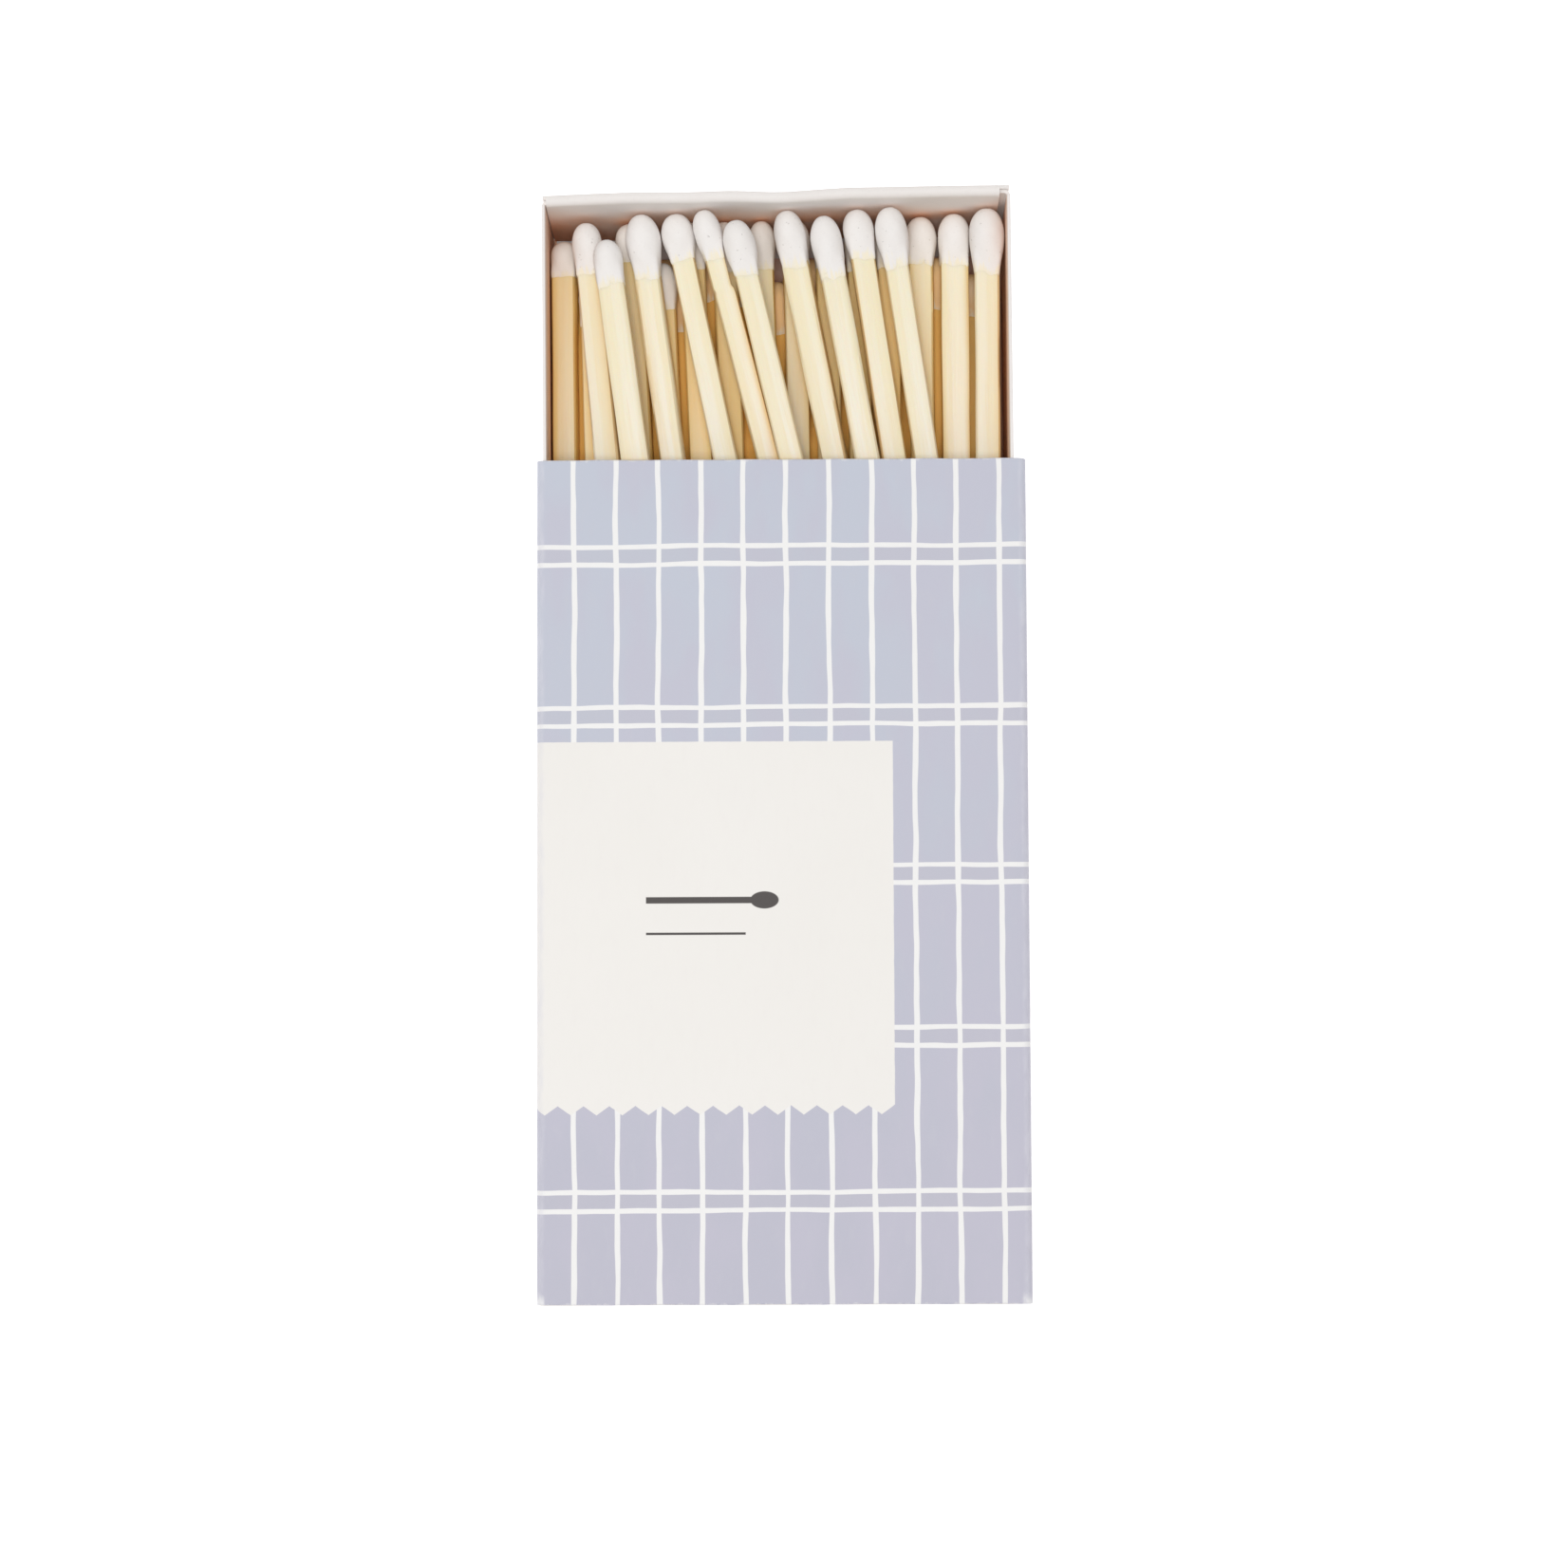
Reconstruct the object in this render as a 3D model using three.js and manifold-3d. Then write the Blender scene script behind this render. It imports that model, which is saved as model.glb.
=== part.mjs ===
// A box of long matches: a card sleeve open at both ends, a folded card tray that slides in it, and the loose matches in the tray.
// Millimetres, +Z up. The origin is the centre of the sleeve's underside. +Y points at the open end of the tray, where the match heads are.
import * as THREE from 'three';
import { mergeVertices } from 'three/addons/utils/BufferGeometryUtils.js';
import Module from 'manifold-3d';

// ---- driving dimensions -------------------------------------------------------------------------------------------------
const SLEEVE_W = 64; // across, X
const SLEEVE_L = 110; // along, Y
const SLEEVE_H = 20; // up, Z
const SLEEVE_CARD = 0.4; // card thickness
const SLEEVE_FOLD = 0.85; // outer radius of the folds
const SEAM_FLAP = 17; // height of the glue flap inside the right-hand side

const TRAY_W = 61.8; // outside, X
const TRAY_L = 108.2; // outside at the floor, Y
const TRAY_CARD = 0.45;
const TRAY_FOLD = 0.8; // outer radius of the folds
const TRAY_UNDER = 0.7; // underside above the ground
const TRAY_RIM = 19.2; // top of the rim
const END_LEAN = 1.3; // the far end wall leans out by this much at its rim
const END_SKEW = 0.7; // degrees, the far end wall is a little out of square
const END_GAP = 0.6; // between the two layers of an end wall
const TAB_L = 12; // corner tabs, along the end wall
const FLAP_INSET = 0.95; // the inner layer stops this far from each side wall
const TRAY_OPEN = 35.6; // how far the tray is drawn out
const TRAY_X = -0.276; // it sits against one side of the sleeve
const TRAY_TURN = 0.3; // degrees, its play lets it turn this much

const MATCH_L = 95;

// [x and y of the tip of the head, height of the axis there, turn in plan, slope down towards the tail, head radius, head length, stick width, stick height, roll about its own length]
const MATCHES = [
  [-28.7, 83.6, 3.195, 0.28, 0.315, 1.93, 6.56, 3.2, 2.9, -0],
  [-24.37, 82.97, 3.253, 0.15, 0.372, 1.99, 6.68, 3.22, 2.83, -0],
  [-20.04, 83.99, 3.321, 0.03, 0.387, 2.06, 7.47, 3.31, 2.92, -0],
  [-15.71, 85.09, 3.18, 0.06, 0.315, 1.93, 6.26, 3.28, 2.86, 0],
  [-11.38, 83.59, 3.249, 0.01, 0.372, 1.99, 6.6, 3.15, 2.82, 0],
  [-7.04, 84.96, 3.182, -0.07, 0.329, 1.92, 7.53, 3.19, 2.83, 0],
  [-2.71, 83.97, 3.271, 0.17, 0.372, 2.01, 7.39, 3.17, 2.86, 0],
  [1.61, 82.81, 3.26, -0.07, 0.372, 2, 6.29, 3.25, 2.84, -0],
  [5.95, 82.99, 3.323, -0.06, 0.401, 2.06, 7.14, 3.3, 2.88, 0],
  [10.27, 85.12, 3.21, -0.03, 0.315, 1.95, 6.84, 3.17, 2.92, -0],
  [14.61, 83.45, 3.312, -0.1, 0.387, 2.04, 7.26, 3.18, 2.9, 0],
  [18.93, 82.71, 3.199, 0.03, 0.329, 1.94, 6.51, 3.38, 2.87, -0],
  [23.27, 82.77, 3.383, 0.07, 0.444, 2.12, 6.8, 3.25, 2.83, -0],
  [27.59, 82.8, 4.033, -0.02, 0.845, 2.12, 6.72, 3.34, 2.8, -0],
  [-26.53, 85.5, 6.804, -0.19, 0.702, 2.1, 7.25, 3.26, 2.86, 0],
  [-22.2, 79.6, 6.883, 0.05, 0.773, 2.08, 6.77, 3.28, 2.89, 0],
  [-17.87, 85.12, 6.862, 0.22, 0.745, 1.98, 7.4, 3.35, 2.82, -0],
  [-13.54, 81.6, 6.73, -0.24, 0.702, 2.07, 7.47, 3.28, 2.89, -0],
  [-9.21, 84.96, 6.747, -0.07, 0.716, 2, 6.75, 3.39, 2.87, -0],
  [-4.88, 84.73, 6.854, 0.23, 0.759, 2.04, 7.77, 3.28, 2.86, 0],
  [-0.55, 81.2, 6.767, 0.04, 0.716, 2.04, 7.61, 3.25, 2.91, -0],
  [3.78, 84.22, 6.923, 0.01, 0.788, 2.1, 6.6, 3.35, 2.88, 0],
  [8.11, 83.59, 6.911, 0.24, 0.788, 2.03, 6.84, 3.2, 2.81, -0],
  [12.44, 82.67, 6.855, 0.17, 0.745, 1.99, 7.17, 3.27, 2.87, 0],
  [16.77, 84.62, 6.87, 0.23, 0.759, 2.04, 7.2, 3.31, 2.82, -0],
  [21.1, 84.28, 7.093, 0.13, 0.888, 2.1, 7.37, 3.18, 2.91, 0],
  [25.43, 81.9, 7.777, 0.01, 1.361, 2.1, 6.27, 3.16, 2.8, -0],
  [-29.03, 86.08, 10.1, 0.3, 0.888, 1.9, 5.02, 3.3, 2.9, -9],
  [-25.43, 80.66, 10.08, 1.6, 0.902, 1.8, 6.53, 3.2, 2.9, 0],
  [-20.29, 88.36, 10.609, 2.6, 1.146, 2, 5.41, 3.25, 2.9, -4],
  [-15.91, 83.1, 10.367, 2.8, 1.046, 1.95, 6.93, 3.2, 2.9, -3],
  [-11.95, 88.55, 10.461, 2.4, 1.146, 1.95, 6.44, 3.2, 2.9, 0],
  [-7.66, 88.62, 10.383, 1.8, 1.074, 2.01, 6.83, 3.2, 2.9, 0],
  [-2.63, 88.71, 10.448, 1.5, 1.046, 1.82, 7.01, 3.1, 2.9, -2],
  [1.86, 88.8, 10.719, 1, 1.217, 2, 7.47, 3.15, 2.9, 2],
  [6.26, 88.72, 10.597, 0.6, 1.203, 1.94, 7.08, 3.2, 2.9, 0],
  [10.45, 88.2, 10.488, 0.3, 1.103, 1.94, 6.69, 3.2, 2.9, 0],
  [14.43, 88.57, 11.029, 0.05, 1.432, 1.94, 6.94, 3.2, 2.9, 0],
  [18.72, 89.09, 10.637, 0, 1.146, 2.13, 6.72, 3.3, 2.9, -5],
  [23.15, 89.25, 11.734, 0.3, 1.804, 2.16, 7.32, 3.65, 2.9, 4],
  [27.44, 89.48, 13.95, 0, 3.177, 2.4, 8.82, 3.35, 2.9, -2],
  [-26.03, 87.87, 13.661, 5, 1.174, 2.05, 7.53, 3.3, 2.9, -8],
  [9.95, 89.24, 14.631, 8.64, 1.561, 2.1, 6.98, 3.25, 2.9, 2],
  [14.27, 89.37, 15.346, 8.43, 1.876, 2.21, 8.23, 3.15, 2.9, -2],
  [0.61, 89.1, 14.95, 10.73, 1.833, 2.11, 7.95, 3.4, 2.9, -10],
  [-14.2, 88.8, 14.432, 11.76, 1.59, 2.23, 6.78, 3.2, 2.9, -3],
  [-10.38, 88.98, 16.003, 14.19, 2.605, 1.89, 7.14, 2.5, 2.7, 3],
  [-18.72, 88.74, 14.677, 7.35, 1.747, 2.35, 8.92, 3.3, 2.9, -9],
  [5.51, 88.26, 15.335, 9.78, -0.688, 2.1, 8.84, 3.3, 2.9, -1],
  [-6.16, 87.42, 16.767, 13.36, 0.315, 2.14, 7.87, 3.15, 2.9, -2],
  [-23.19, 84.88, 16.92, 7.52, 1.146, 1.93, 6.4, 3.6, 2.9, -3],
];

// ---- materials ----------------------------------------------------------------------------------------------------------
const printed = new THREE.MeshStandardMaterial({ color: 0xc5c9d6, roughness: 0.62, metalness: 0 });
const board = new THREE.MeshStandardMaterial({ color: 0xeae6e0, roughness: 0.85, metalness: 0 });
const match = new THREE.MeshStandardMaterial({ color: 0xecdcb4, roughness: 0.8, metalness: 0 });

// ---- helpers ------------------------------------------------------------------------------------------------------------
const wasm = await Module();
wasm.setup();
const rad = Math.PI / 180;

function toSolid(geometry) {
  const g = geometry.clone();
  g.deleteAttribute('normal');
  g.deleteAttribute('uv');
  const m = mergeVertices(g, 1e-4);
  return new wasm.Manifold(new wasm.Mesh({
    numProp: 3,
    vertProperties: new Float32Array(m.attributes.position.array),
    triVerts: new Uint32Array(m.index.array),
  }));
}

function toGeometry(solid) {
  const m = solid.getMesh();
  const g = new THREE.BufferGeometry();
  g.setAttribute('position', new THREE.BufferAttribute(new Float32Array(m.vertProperties), 3));
  g.setIndex(new THREE.BufferAttribute(new Uint32Array(m.triVerts), 1));
  g.computeVertexNormals();
  return g;
}

// A rounded corner from angle a0 to a1 (degrees) about (cx, cy).
function arc(cx, cy, r, a0, a1, n = 4) {
  const p = [];
  for (let i = 0; i <= n; i++) {
    const a = (a0 + ((a1 - a0) * i) / n) * rad;
    p.push([cx + r * Math.cos(a), cy + r * Math.sin(a)]);
  }
  return p;
}

function prism(points, depth, holes = []) {
  const shape = new THREE.Shape(points.map(([x, y]) => new THREE.Vector2(x, y)));
  for (const h of holes) shape.holes.push(new THREE.Path(h.map(([x, y]) => new THREE.Vector2(x, y))));
  return new THREE.ExtrudeGeometry(shape, { depth, bevelEnabled: false, steps: 1 });
}

// A section drawn in X-Z, run along Y from y0 to y1.
function alongY(points, y0, y1, holes) {
  const g = prism(points, y1 - y0, holes);
  g.rotateX(Math.PI / 2);
  g.translate(0, y1, 0);
  return g;
}

// A section drawn in Y-Z, run along X from x0 to x1.
function alongX(points, x0, x1) {
  const g = prism(points, x1 - x0);
  g.applyMatrix4(new THREE.Matrix4().set(0, 0, 1, x0, 1, 0, 0, 0, 0, 1, 0, 0, 0, 0, 0, 1));
  return g;
}

// A line of card of thickness t: its two sides are the offsets of a centre line.
function strip(line, t) {
  const left = [], right = [];
  for (let i = 0; i < line.length; i++) {
    const a = line[Math.max(0, i - 1)], b = line[Math.min(line.length - 1, i + 1)];
    let dx = b[0] - a[0], dy = b[1] - a[1];
    const l = Math.hypot(dx, dy);
    dx /= l; dy /= l;
    left.push([line[i][0] - (dy * t) / 2, line[i][1] + (dx * t) / 2]);
    right.push([line[i][0] + (dy * t) / 2, line[i][1] - (dx * t) / 2]);
  }
  return [...right, ...left.reverse()];
}

// ---- sleeve -------------------------------------------------------------------------------------------------------------
function sleeveGeometry() {
  const w = SLEEVE_W / 2, h = SLEEVE_H, r = SLEEVE_FOLD, t = SLEEVE_CARD, ri = r - t;
  const outer = [
    ...arc(w - r, r, r, -90, 0), ...arc(w - r, h - r, r, 0, 90), ...arc(-w + r, h - r, r, 90, 180), ...arc(-w + r, r, r, 180, 270),
  ];
  // The hole follows the inside, and steps in round the glue flap on the right-hand side.
  const top = h - t - ri, flapLow = h - t - SEAM_FLAP;
  const inner = [
    ...arc(w - r, r, ri, -90, 0),
    [w - t, flapLow], [w - 2 * t, flapLow + 0.12],
    ...arc(w - 2 * t - ri, top, ri, 0, 90), ...arc(-w + r, h - r, ri, 90, 180), ...arc(-w + r, r, ri, 180, 270),
  ].reverse();
  return alongY(outer, -SLEEVE_L / 2, SLEEVE_L / 2, [inner]);
}

// ---- tray ---------------------------------------------------------------------------------------------------------------
function trayGeometry() {
  const t = TRAY_CARD, r = TRAY_FOLD, w = TRAY_W / 2, l = TRAY_L / 2, z0 = TRAY_UNDER, z1 = TRAY_RIM, c = t / 2, rc = r - c;
  // End wall: floor, bend, up the outer layer, over the rim, down the inner layer.
  const pitch = t + END_GAP; // centre line to centre line
  const endLine = (lean) => {
    const up = l - c, k = lean / (z1 - z0);
    const line = [[up - 14, z0 + c], ...arc(up - rc, z0 + r, rc, -90, 0)];
    const top = z1 - c - pitch / 2;
    const at = (z) => up + k * (z - z0 - r);
    for (let i = 0; i <= 8; i++) {
      const a = (180 * i * rad) / 8;
      line.push([at(top) - pitch / 2 + (pitch / 2) * Math.cos(a), top + (pitch / 2) * Math.sin(a)]);
    }
    line.push([at(z0 + t + 0.35) - pitch, z0 + t + 0.3]);
    return strip(line, t);
  };
  // U of floor and side walls, stopping at the bend of the corner tabs.
  const bendIn = 0.55; // radius of the corner bend's centre line
  const tabY = l - t - 0.1 - c; // centre line of the tab layer, just inside the outer layer
  const u = strip([[-w + c, z1], ...arc(-w + c + rc, z0 + r, rc, 180, 270), ...arc(w - c - rc, z0 + r, rc, 270, 360), [w - c, z1]], t);
  let solid = toSolid(alongY(u, -tabY + bendIn, tabY - bendIn));
  // Floor between the side bends, out to the end walls.
  const floor = new THREE.BoxGeometry(2 * (w - r), 2 * (l - r - 0.2), t);
  floor.translate(0, 0, z0 + t / 2);
  solid = solid.add(toSolid(floor));

  const half = (end) => {
    const lean = end > 0 ? END_LEAN : 0, skew = end > 0 ? END_SKEW : 0;
    const line = endLine(lean);
    // outer layer as wide as the tray; inner layer narrower
    let wall = toSolid(alongX(line, -w + 0.12, w - 0.12));
    for (const side of [-1, 1]) {
      // Trim the inner layer and its roll back from the side walls.
      const cut = new THREE.BoxGeometry(FLAP_INSET + t, 14, z1 + 4);
      cut.translate(side * (w - (FLAP_INSET + t) / 2), l - t - 7 - 0.32, z0 + (z1 + 4) / 2 + t + 0.25);
      const shear = new THREE.Matrix4().set(1, 0, 0, 0, 0, 1, lean / (z1 - z0), (-lean / (z1 - z0)) * (z0 + TRAY_FOLD), 0, 0, 1, 0, 0, 0, 0, 1);
      cut.applyMatrix4(shear);
      wall = wall.subtract(toSolid(cut));
    }
    let g = toGeometry(wall);
    // the lean and the skew are in the wall above its bend: it turns about the middle of the wall
    if (skew) {
      const p = g.attributes.position;
      for (let i = 0; i < p.count; i++) {
        const k = Math.min(1, Math.max(0, (p.getY(i) - (l - 6)) / 4));
        p.setY(i, p.getY(i) + k * Math.tan(skew * rad) * p.getX(i) * 0.98);
      }
    }
    wall = toSolid(g);
    let body = wall;
    for (const side of [-1, 1]) {
      // corner tab: side wall, bend, then in behind the outer layer. It follows the skew and the lean with the wall.
      const dy = skew ? Math.tan(skew * rad) * side * (w - 4) : 0;
      const ty = tabY + dy;
      const line2 = [
        [side * (w - c), tabY - bendIn - 3], [side * (w - c), ty - bendIn - 0.2],
        ...(side > 0 ? arc(w - c - bendIn, ty - bendIn, bendIn, 0, 90) : arc(-w + c + bendIn, ty - bendIn, bendIn, 180, 90)),
        [side * (w - TAB_L), ty + (skew ? -Math.tan(skew * rad) * side * (TAB_L - 4) : 0)],
      ];
      const pts = strip(line2, t);
      const h0 = z0 + r + 0.25, h1 = z1 - t - 0.35;
      const tab = prism(pts, h1 - h0);
      tab.translate(0, 0, h0);
      if (lean) {
        const p = tab.attributes.position;
        for (let i = 0; i < p.count; i++) {
          const k = Math.min(1, Math.max(0, (p.getY(i) - (tabY - bendIn - 1.6)) / 1.2));
          p.setY(i, p.getY(i) + (k * lean * (p.getZ(i) - z0 - r)) / (z1 - z0));
        }
      }
      body = body.add(toSolid(tab));
    }
    return body;
  };
  solid = solid.add(half(1));
  const back = toGeometry(half(-1));
  back.rotateZ(Math.PI);
  solid = solid.add(toSolid(back));
  return toGeometry(solid);
}

// ---- match --------------------------------------------------------------------------------------------------------------
// Rings of eight points along -Y: the tip of the head at the origin, the tail at -MATCH_L. The stick is square and the head is round.
function matchGeometry(r, hl, w, h) {
  const rings = [];
  const square = (y, k = 1) => {
    const a = (w / 2) * k, b = (h / 2) * k;
    return [[a, 0], [a, b], [0, b], [-a, b], [-a, 0], [-a, -b], [0, -b], [a, -b]].map(([x, z]) => [x, y, z]);
  };
  const round = (y, q) => {
    const p = [];
    for (let i = 0; i < 8; i++) p.push([q * Math.cos((i * Math.PI) / 4), y, q * Math.sin((i * Math.PI) / 4)]);
    return p;
  };
  rings.push(round(-0.08 * r, 0.36 * r), round(-0.5 * r, 0.8 * r), round(-0.45 * hl, r), round(-0.78 * hl, 0.89 * r), square(-hl, 1.001), square(-MATCH_L, 1));
  const pos = [[0, 0, 0], ...rings.flat(), [0, -MATCH_L, 0]];
  const idx = [];
  const n = 8, at = (k, i) => 1 + k * n + (i % n);
  for (let i = 0; i < n; i++) idx.push(0, at(0, i + 1), at(0, i));
  for (let k = 0; k + 1 < rings.length; k++) {
    for (let i = 0; i < n; i++) {
      idx.push(at(k, i), at(k, i + 1), at(k + 1, i));
      idx.push(at(k, i + 1), at(k + 1, i + 1), at(k + 1, i));
    }
  }
  const last = rings.length - 1, end = pos.length - 1;
  for (let i = 0; i < n; i++) idx.push(at(last, i), at(last, i + 1), end);
  const g = new THREE.BufferGeometry();
  g.setAttribute('position', new THREE.BufferAttribute(new Float32Array(pos.flat()), 3));
  g.setIndex(idx);
  g.computeVertexNormals();
  return g;
}

// ---- assembly -----------------------------------------------------------------------------------------------------------
const box = new THREE.Group();

const sleeve = new THREE.Mesh(sleeveGeometry(), printed);
sleeve.name = 'sleeve';
box.add(sleeve);

const drawer = new THREE.Group();
box.add(drawer);

const tray = new THREE.Mesh(trayGeometry(), board);
tray.name = 'tray';
tray.position.set(TRAY_X, TRAY_OPEN, 0);
tray.rotation.z = TRAY_TURN * rad;
drawer.add(tray);

MATCHES.forEach(([x, y, z, turn, slope, r, hl, w, h, roll], i) => {
  const m = new THREE.Mesh(matchGeometry(r, hl, w, h), match);
  m.name = `match_${String(i + 1).padStart(2, '0')}`;
  m.position.set(x, y, z);
  m.rotation.set(slope * rad, roll * rad, turn * rad, 'ZYX');
  drawer.add(m);
});

export default box;
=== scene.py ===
import math

import bpy
import numpy as np
from mathutils import Matrix, Vector


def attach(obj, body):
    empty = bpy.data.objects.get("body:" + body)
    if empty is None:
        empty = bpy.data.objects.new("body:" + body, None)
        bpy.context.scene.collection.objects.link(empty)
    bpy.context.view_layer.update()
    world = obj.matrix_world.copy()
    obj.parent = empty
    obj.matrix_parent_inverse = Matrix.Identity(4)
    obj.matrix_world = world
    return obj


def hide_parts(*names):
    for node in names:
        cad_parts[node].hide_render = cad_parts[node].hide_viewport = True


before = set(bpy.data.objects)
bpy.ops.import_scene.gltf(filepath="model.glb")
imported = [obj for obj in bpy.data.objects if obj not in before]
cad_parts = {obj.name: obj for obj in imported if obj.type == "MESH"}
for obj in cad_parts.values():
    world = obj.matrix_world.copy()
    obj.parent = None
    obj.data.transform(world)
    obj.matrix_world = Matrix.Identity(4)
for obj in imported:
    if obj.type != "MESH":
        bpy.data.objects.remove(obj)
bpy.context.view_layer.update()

MM = 0.001
rng = np.random.default_rng(20)


# ---- the box's dimensions, mm, as in the solid model ------------------------------------------------------------------------
SLEEVE_W, SLEEVE_L, SLEEVE_H, SLEEVE_T, SLEEVE_R, SEAM = 64.0, 110.0, 20.0, 0.4, 0.85, 17.0
TRAY_W, TRAY_L, TRAY_T, TRAY_R, TRAY_Z0, TRAY_Z1 = 61.8, 108.2, 0.45, 0.8, 0.7, 19.2
LEAN, SKEW, GAP, TAB, INSET = 1.3, 0.7, 0.6, 12.0, 0.95
TRAY_AT, TRAY_TURN = (-0.276, 35.6), 0.3
MATCH_L = 95.0

# tip x, y, z; turn in plan; slope; head radius; head length; stick width; stick height; roll; finishes of the head's lower edge and of the stick
MATCHES = [
    (-28.7, 83.6, 3.195, 0.28, 0.315, 1.93, 6.56, 3.2, 2.9, -0),
    (-24.37, 82.97, 3.253, 0.15, 0.372, 1.99, 6.68, 3.22, 2.83, -0),
    (-20.04, 83.99, 3.321, 0.03, 0.387, 2.06, 7.47, 3.31, 2.92, -0),
    (-15.71, 85.09, 3.18, 0.06, 0.315, 1.93, 6.26, 3.28, 2.86, 0),
    (-11.38, 83.59, 3.249, 0.01, 0.372, 1.99, 6.6, 3.15, 2.82, 0),
    (-7.04, 84.96, 3.182, -0.07, 0.329, 1.92, 7.53, 3.19, 2.83, 0),
    (-2.71, 83.97, 3.271, 0.17, 0.372, 2.01, 7.39, 3.17, 2.86, 0),
    (1.61, 82.81, 3.26, -0.07, 0.372, 2, 6.29, 3.25, 2.84, -0),
    (5.95, 82.99, 3.323, -0.06, 0.401, 2.06, 7.14, 3.3, 2.88, 0),
    (10.27, 85.12, 3.21, -0.03, 0.315, 1.95, 6.84, 3.17, 2.92, -0),
    (14.61, 83.45, 3.312, -0.1, 0.387, 2.04, 7.26, 3.18, 2.9, 0),
    (18.93, 82.71, 3.199, 0.03, 0.329, 1.94, 6.51, 3.38, 2.87, -0),
    (23.27, 82.77, 3.383, 0.07, 0.444, 2.12, 6.8, 3.25, 2.83, -0),
    (27.59, 82.8, 4.033, -0.02, 0.845, 2.12, 6.72, 3.34, 2.8, -0),
    (-26.53, 85.5, 6.804, -0.19, 0.702, 2.1, 7.25, 3.26, 2.86, 0),
    (-22.2, 79.6, 6.883, 0.05, 0.773, 2.08, 6.77, 3.28, 2.89, 0),
    (-17.87, 85.12, 6.862, 0.22, 0.745, 1.98, 7.4, 3.35, 2.82, -0),
    (-13.54, 81.6, 6.73, -0.24, 0.702, 2.07, 7.47, 3.28, 2.89, -0),
    (-9.21, 84.96, 6.747, -0.07, 0.716, 2, 6.75, 3.39, 2.87, -0),
    (-4.88, 84.73, 6.854, 0.23, 0.759, 2.04, 7.77, 3.28, 2.86, 0),
    (-0.55, 81.2, 6.767, 0.04, 0.716, 2.04, 7.61, 3.25, 2.91, -0),
    (3.78, 84.22, 6.923, 0.01, 0.788, 2.1, 6.6, 3.35, 2.88, 0),
    (8.11, 83.59, 6.911, 0.24, 0.788, 2.03, 6.84, 3.2, 2.81, -0),
    (12.44, 82.67, 6.855, 0.17, 0.745, 1.99, 7.17, 3.27, 2.87, 0),
    (16.77, 84.62, 6.87, 0.23, 0.759, 2.04, 7.2, 3.31, 2.82, -0),
    (21.1, 84.28, 7.093, 0.13, 0.888, 2.1, 7.37, 3.18, 2.91, 0),
    (25.43, 81.9, 7.777, 0.01, 1.361, 2.1, 6.27, 3.16, 2.8, -0),
    (-29.03, 86.08, 10.1, 0.3, 0.888, 1.9, 5.02, 3.3, 2.9, -9),
    (-25.43, 80.66, 10.08, 1.6, 0.902, 1.8, 6.53, 3.2, 2.9, 0),
    (-20.29, 88.36, 10.609, 2.6, 1.146, 2, 5.41, 3.25, 2.9, -4),
    (-15.91, 83.1, 10.367, 2.8, 1.046, 1.95, 6.93, 3.2, 2.9, -3),
    (-11.95, 88.55, 10.461, 2.4, 1.146, 1.95, 6.44, 3.2, 2.9, 0),
    (-7.66, 88.62, 10.383, 1.8, 1.074, 2.01, 6.83, 3.2, 2.9, 0),
    (-2.63, 88.71, 10.448, 1.5, 1.046, 1.82, 7.01, 3.1, 2.9, -2),
    (1.86, 88.8, 10.719, 1, 1.217, 2, 7.47, 3.15, 2.9, 2),
    (6.26, 88.72, 10.597, 0.6, 1.203, 1.94, 7.08, 3.2, 2.9, 0),
    (10.45, 88.2, 10.488, 0.3, 1.103, 1.94, 6.69, 3.2, 2.9, 0),
    (14.43, 88.57, 11.029, 0.05, 1.432, 1.94, 6.94, 3.2, 2.9, 0),
    (18.72, 89.09, 10.637, 0, 1.146, 2.13, 6.72, 3.3, 2.9, -5, {"notch": [(72, 0.06, 0.08)]}),
    (23.15, 89.25, 11.734, 0.3, 1.804, 2.16, 7.32, 3.65, 2.9, 4),
    (27.44, 89.48, 13.95, 0, 3.177, 2.4, 8.82, 3.35, 2.9, -2),
    (-26.03, 87.87, 13.661, 5, 1.174, 2.05, 7.53, 3.3, 2.9, -8),
    (9.95, 89.24, 14.631, 8.64, 1.561, 2.1, 6.98, 3.25, 2.9, 2),
    (14.27, 89.37, 15.346, 8.43, 1.876, 2.21, 8.23, 3.15, 2.9, -2, {"notch": [(86, 0.11, 0.07)]}),
    (0.61, 89.1, 14.95, 10.73, 1.833, 2.11, 7.95, 3.4, 2.9, -10),
    (-14.2, 88.8, 14.432, 11.76, 1.59, 2.23, 6.78, 3.2, 2.9, -3),
    (-10.38, 88.98, 16.003, 14.19, 2.605, 1.89, 7.14, 2.5, 2.7, 3, {"nick": (11.0, 0.16, 1.0)}),
    (-18.72, 88.74, 14.677, 7.35, 1.747, 2.35, 8.92, 3.3, 2.9, -9, {"notch": [(104, 0.025, 0.12)]}),
    (5.51, 88.26, 15.335, 9.78, -0.688, 2.1, 8.84, 3.3, 2.9, -1, {"notch": [(60, 0.02, 0.3)]}),
    (-6.16, 87.42, 16.767, 13.36, 0.315, 2.14, 7.87, 3.15, 2.9, -2),
    (-23.19, 84.88, 16.92, 7.52, 1.146, 1.93, 6.4, 3.6, 2.9, -3, {"notch": [(84, 0.05, 0.07)]}),
]


# ---- shader helpers ---------------------------------------------------------------------------------------------------------
def lin(r, g, b):
    out = []
    for c in (r, g, b):
        c /= 255.0
        out.append(c / 12.92 if c <= 0.04045 else ((c + 0.055) / 1.055) ** 2.4)
    return (*out, 1.0)


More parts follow.
